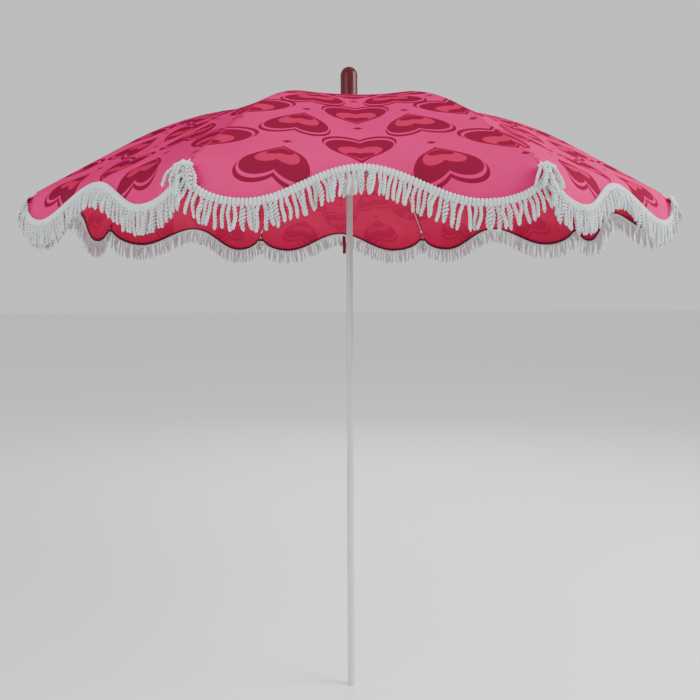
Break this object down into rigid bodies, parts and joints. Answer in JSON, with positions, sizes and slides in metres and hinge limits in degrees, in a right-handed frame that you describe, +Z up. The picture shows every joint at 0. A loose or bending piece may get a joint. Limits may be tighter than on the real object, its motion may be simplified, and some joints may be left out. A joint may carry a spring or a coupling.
{
  "type": "garden parasol",
  "caption": "Fringed garden parasol: scalloped eight-panel canopy with a heart print, folding ribs and stretchers, sliding runner, two-part pole and turned finial.",
  "frame": {"origin": "middle of the pole's foot, on the pole's axis", "axes": "+Z up along the pole; the front panel of the canopy faces -Y; rib 1 points 22.5 degrees from +X and the others follow every 45 degrees"},
  "size_m": [1.868, 1.868, 2.1886],
  "materials": {
    "pole_tube": "satin light grey",
    "frame_steel": "drawn and plated",
    "white_plastic": "moulded, fine texture",
    "dark_plastic": "moulded, satin",
    "finial_wood": "stained dark red and varnished",
    "canopy_fabric": "plain-weave cotton with a printed heart pattern",
    "fringe_cord": "soft twisted cotton",
    "strap_fabric": "woven tape"
  },
  "bodies": {
    "lower_pole": {"lower_tube": "pole_tube", "foot_plug": "dark_plastic", "slip_bush": "dark_plastic"},
    "mast": {"upper_tube": "pole_tube", "finial_stud": "frame_steel", "hub": "white_plastic", "hub_wire": "frame_steel", "crown_cap": "dark_plastic", "finial": "finial_wood"},
    "runner": {"runner": "white_plastic"},
    "pull_knob": {"runner_pull_knob": "dark_plastic"},
    "rib_1": {"rib_1": "frame_steel", "rib_tip_1": "white_plastic", "rib_saddle_1": "frame_steel", "canopy_strip_1": "canopy_fabric", "fringe_1": "fringe_cord"},
    "stretcher_1": {"stretcher_1": "frame_steel"},
    "rib_2": {"rib_2": "frame_steel", "rib_tip_2": "white_plastic", "rib_saddle_2": "frame_steel", "canopy_strip_2": "canopy_fabric", "fringe_2": "fringe_cord", "closure_strap": "strap_fabric"},
    "stretcher_2": {"stretcher_2": "frame_steel"},
    "rib_3": {"rib_3": "frame_steel", "rib_tip_3": "white_plastic", "rib_saddle_3": "frame_steel", "canopy_strip_3": "canopy_fabric", "fringe_3": "fringe_cord"},
    "stretcher_3": {"stretcher_3": "frame_steel"},
    "rib_4": {"rib_4": "frame_steel", "rib_tip_4": "white_plastic", "rib_saddle_4": "frame_steel", "canopy_strip_4": "canopy_fabric", "fringe_4": "fringe_cord"},
    "stretcher_4": {"stretcher_4": "frame_steel"},
    "rib_5": {"rib_5": "frame_steel", "rib_tip_5": "white_plastic", "rib_saddle_5": "frame_steel", "canopy_strip_5": "canopy_fabric", "fringe_5": "fringe_cord"},
    "stretcher_5": {"stretcher_5": "frame_steel"},
    "rib_6": {"rib_6": "frame_steel", "rib_tip_6": "white_plastic", "rib_saddle_6": "frame_steel", "canopy_strip_6": "canopy_fabric", "fringe_6": "fringe_cord"},
    "stretcher_6": {"stretcher_6": "frame_steel"},
    "rib_7": {"rib_7": "frame_steel", "rib_tip_7": "white_plastic", "rib_saddle_7": "frame_steel", "canopy_strip_7": "canopy_fabric", "fringe_7": "fringe_cord"},
    "stretcher_7": {"stretcher_7": "frame_steel"},
    "rib_8": {"rib_8": "frame_steel", "rib_tip_8": "white_plastic", "rib_saddle_8": "frame_steel", "canopy_strip_8": "canopy_fabric", "fringe_8": "fringe_cord"},
    "stretcher_8": {"stretcher_8": "frame_steel"}
  },
  "joints": [
    {"name": "mast_lift", "type": "slide", "parent": "lower_pole", "child": "mast", "axis": [0, 0, 1], "range_m": [0, 0.22]},
    {"name": "rib_1_fold", "type": "hinge", "parent": "mast", "child": "rib_1", "pos_m": [0.02217, 0.00918, 2.017], "axis": [-0.3827, 0.9239, 0], "range_deg": [0, 63], "deforming": ["canopy_strip_1", "fringe_1"]},
    {"name": "stretcher_1_pivot", "type": "hinge", "parent": "rib_1", "child": "stretcher_1", "pos_m": [0.40783, 0.16893, 1.98373], "axis": [-0.3827, 0.9239, 0], "range_deg": [-110.41, 0]},
    {"name": "rib_2_fold", "type": "hinge", "parent": "mast", "child": "rib_2", "pos_m": [0.00918, 0.02217, 2.017], "axis": [-0.9239, 0.3827, 0], "range_deg": [0, 63], "deforming": ["canopy_strip_2", "fringe_2", "closure_strap"]},
    {"name": "stretcher_2_pivot", "type": "hinge", "parent": "rib_2", "child": "stretcher_2", "pos_m": [0.16893, 0.40783, 1.98373], "axis": [-0.9239, 0.3827, 0], "range_deg": [-110.41, 0]},
    {"name": "rib_3_fold", "type": "hinge", "parent": "mast", "child": "rib_3", "pos_m": [-0.00918, 0.02217, 2.017], "axis": [-0.9239, -0.3827, 0], "range_deg": [0, 63], "deforming": ["canopy_strip_3", "fringe_3"]},
    {"name": "stretcher_3_pivot", "type": "hinge", "parent": "rib_3", "child": "stretcher_3", "pos_m": [-0.16893, 0.40783, 1.98373], "axis": [-0.9239, -0.3827, 0], "range_deg": [-110.41, 0]},
    {"name": "rib_4_fold", "type": "hinge", "parent": "mast", "child": "rib_4", "pos_m": [-0.02217, 0.00918, 2.017], "axis": [-0.3827, -0.9239, 0], "range_deg": [0, 63], "deforming": ["canopy_strip_4", "fringe_4"]},
    {"name": "stretcher_4_pivot", "type": "hinge", "parent": "rib_4", "child": "stretcher_4", "pos_m": [-0.40783, 0.16893, 1.98373], "axis": [-0.3827, -0.9239, 0], "range_deg": [-110.41, 0]},
    {"name": "rib_5_fold", "type": "hinge", "parent": "mast", "child": "rib_5", "pos_m": [-0.02217, -0.00918, 2.017], "axis": [0.3827, -0.9239, 0], "range_deg": [0, 63], "deforming": ["canopy_strip_5", "fringe_5"]},
    {"name": "stretcher_5_pivot", "type": "hinge", "parent": "rib_5", "child": "stretcher_5", "pos_m": [-0.40783, -0.16893, 1.98373], "axis": [0.3827, -0.9239, 0], "range_deg": [-110.41, 0]},
    {"name": "rib_6_fold", "type": "hinge", "parent": "mast", "child": "rib_6", "pos_m": [-0.00918, -0.02217, 2.017], "axis": [0.9239, -0.3827, 0], "range_deg": [0, 63], "deforming": ["canopy_strip_6", "fringe_6"]},
    {"name": "stretcher_6_pivot", "type": "hinge", "parent": "rib_6", "child": "stretcher_6", "pos_m": [-0.16893, -0.40783, 1.98373], "axis": [0.9239, -0.3827, 0], "range_deg": [-110.41, 0]},
    {"name": "rib_7_fold", "type": "hinge", "parent": "mast", "child": "rib_7", "pos_m": [0.00918, -0.02217, 2.017], "axis": [0.9239, 0.3827, 0], "range_deg": [0, 63], "deforming": ["canopy_strip_7", "fringe_7"]},
    {"name": "stretcher_7_pivot", "type": "hinge", "parent": "rib_7", "child": "stretcher_7", "pos_m": [0.16893, -0.40783, 1.98373], "axis": [0.9239, 0.3827, 0], "range_deg": [-110.41, 0]},
    {"name": "rib_8_fold", "type": "hinge", "parent": "mast", "child": "rib_8", "pos_m": [0.02217, -0.00918, 2.017], "axis": [0.3827, 0.9239, 0], "range_deg": [0, 63], "deforming": ["canopy_strip_8", "fringe_8"]},
    {"name": "stretcher_8_pivot", "type": "hinge", "parent": "rib_8", "child": "stretcher_8", "pos_m": [0.40783, -0.16893, 1.98373], "axis": [0.3827, 0.9239, 0], "range_deg": [-110.41, 0]},
    {"name": "runner_slide", "type": "slide", "parent": "mast", "child": "runner", "axis": [0, 0, 1], "range_m": [-0.6074, 0]},
    {"name": "knob_pull", "type": "slide", "parent": "runner", "child": "pull_knob", "axis": [0, 1, 0], "range_m": [0, 0.006], "stiffness_N_per_m": 600}
  ],
  "couplings": [
    {"joint": "stretcher_1_pivot", "follows": "rib_1_fold", "ratio": -1.7523},
    {"joint": "rib_2_fold", "follows": "rib_1_fold", "ratio": 1},
    {"joint": "stretcher_2_pivot", "follows": "rib_1_fold", "ratio": -1.7523},
    {"joint": "rib_3_fold", "follows": "rib_1_fold", "ratio": 1},
    {"joint": "stretcher_3_pivot", "follows": "rib_1_fold", "ratio": -1.7523},
    {"joint": "rib_4_fold", "follows": "rib_1_fold", "ratio": 1},
    {"joint": "stretcher_4_pivot", "follows": "rib_1_fold", "ratio": -1.7523},
    {"joint": "rib_5_fold", "follows": "rib_1_fold", "ratio": 1},
    {"joint": "stretcher_5_pivot", "follows": "rib_1_fold", "ratio": -1.7523},
    {"joint": "rib_6_fold", "follows": "rib_1_fold", "ratio": 1},
    {"joint": "stretcher_6_pivot", "follows": "rib_1_fold", "ratio": -1.7523},
    {"joint": "rib_7_fold", "follows": "rib_1_fold", "ratio": 1},
    {"joint": "stretcher_7_pivot", "follows": "rib_1_fold", "ratio": -1.7523},
    {"joint": "rib_8_fold", "follows": "rib_1_fold", "ratio": 1},
    {"joint": "stretcher_8_pivot", "follows": "rib_1_fold", "ratio": -1.7523},
    {"joint": "runner_slide", "follows": "rib_1_fold", "m_per_rad": -0.55218}
  ]
}
